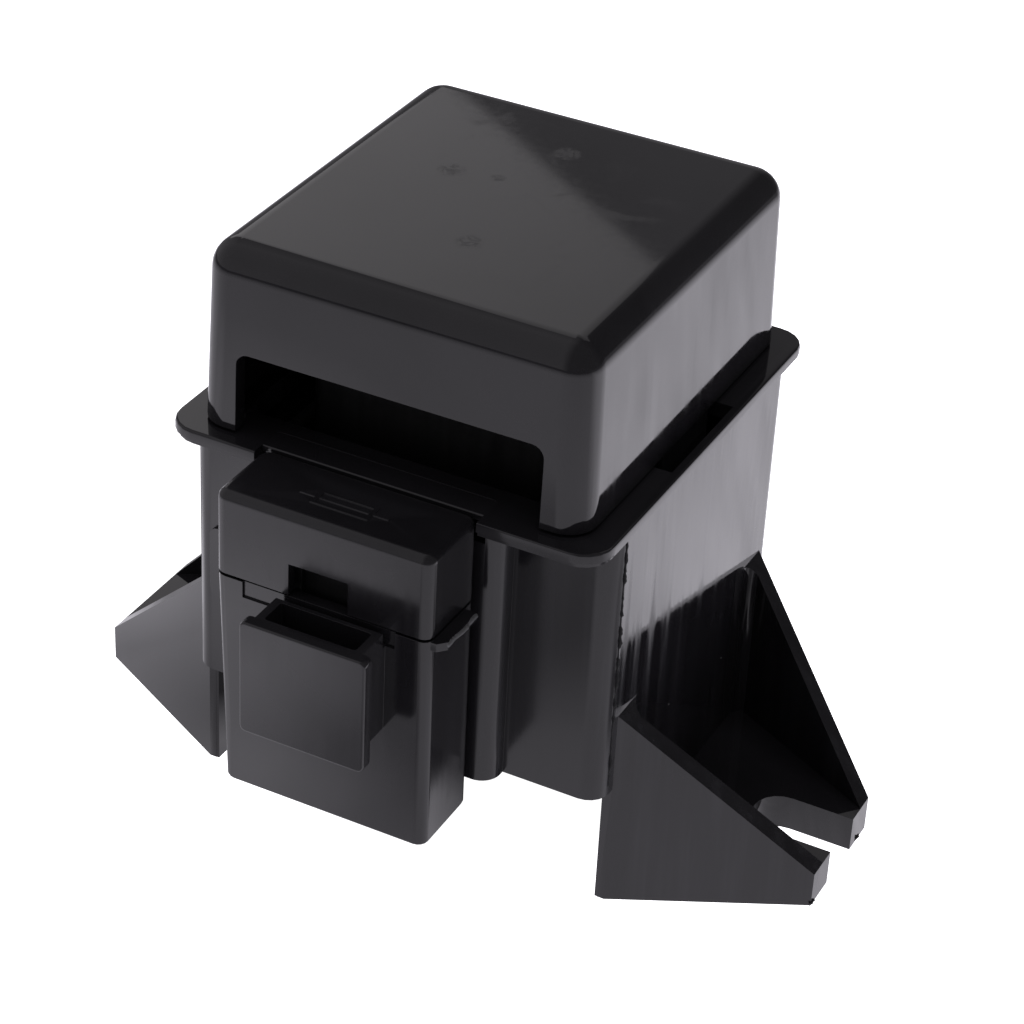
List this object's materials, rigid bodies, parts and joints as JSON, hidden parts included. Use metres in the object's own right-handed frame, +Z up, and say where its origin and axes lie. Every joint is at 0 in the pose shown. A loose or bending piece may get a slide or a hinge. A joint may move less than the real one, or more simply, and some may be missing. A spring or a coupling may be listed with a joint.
{
  "type": "relay and fuse box panel",
  "caption": "Black moulded relay and fuse box: open housing with slotted side feet, lift-off relay cover with front window, plug-in relay and slide-on capped blade fuse holder.",
  "frame": {"origin": "on the mounting plane under the two feet, below the centre of the overall outline", "axes": "+X from the left foot to the right foot, +Y from the fuse holder at the front to the back, +Z up from the mounting plane"},
  "size_m": [0.0862, 0.0648, 0.0667],
  "materials": {
    "housing_black": "glossy black injection-moulded plastic",
    "cover_black": "glossy black injection-moulded plastic",
    "holder_black": "satin-gloss black plastic",
    "cap_black": "satin-gloss black plastic",
    "socket_black": "matt black glass-filled plastic",
    "relay_black": "black plastic",
    "relay_base_black": "matt black plastic",
    "fuse_black": "dark smoked plastic",
    "bobbin_white": "off-white plastic",
    "copper": "enamelled copper wire",
    "core_steel": "bare steel",
    "yoke_steel": "plated steel",
    "armature_steel": "plated steel",
    "zinc": "bare zinc stamping",
    "blade_tin": "tin-plated brass",
    "tinned_brass": "tin-plated brass"
  },
  "bodies": {
    "box": {"housing": "housing_black", "relay_socket": "socket_black", "socket_terminal_30": "tinned_brass", "socket_terminal_85": "tinned_brass", "socket_terminal_86": "tinned_brass", "socket_terminal_87": "tinned_brass", "socket_terminal_87a": "tinned_brass"},
    "cover": {"relay_cover": "cover_black"},
    "relay": {"relay_base": "relay_base_black", "relay_case": "relay_black", "coil_bobbin": "bobbin_white", "coil_winding": "copper", "coil_core": "core_steel", "relay_yoke": "yoke_steel", "relay_blade_30": "blade_tin", "relay_blade_85": "blade_tin", "relay_blade_86": "blade_tin", "relay_blade_87": "blade_tin", "relay_blade_87a": "blade_tin"},
    "armature": {"relay_armature": "armature_steel"},
    "holder": {"fuse_body": "holder_black", "fuse_terminal_a": "tinned_brass", "fuse_terminal_b": "tinned_brass"},
    "cap": {"fuse_cap": "cap_black"},
    "fuse": {"fuse_case": "fuse_black", "fuse_element": "zinc"}
  },
  "joints": [
    {"name": "cover_lift", "type": "slide", "parent": "box", "child": "cover", "axis": [0, 0, 1], "range_m": [0, 0.06]},
    {"name": "relay_pull", "type": "slide", "parent": "box", "child": "relay", "axis": [0, 0, 1], "range_m": [0, 0.027]},
    {"name": "armature_hinge", "type": "hinge", "parent": "relay", "child": "armature", "pos_m": [0.007, 0.0069, 0.0595], "axis": [0, -1, 0], "range_deg": [0, 3], "stiffness_Nm_per_rad": 0.02, "springref_deg": -8.59},
    {"name": "holder_slide", "type": "slide", "parent": "box", "child": "holder", "axis": [0, 0, 1], "range_m": [0, 0.022]},
    {"name": "cap_lift", "type": "slide", "parent": "holder", "child": "cap", "axis": [0, 0, 1], "range_m": [0, 0.04]},
    {"name": "fuse_pull", "type": "slide", "parent": "holder", "child": "fuse", "axis": [0, 0, 1], "range_m": [0, 0.024]}
  ],
  "couplings": [
    {"joint": "relay_pull", "follows": "cover_lift", "ratio": 0.45},
    {"joint": "fuse_pull", "follows": "cap_lift", "ratio": 0.6}
  ]
}
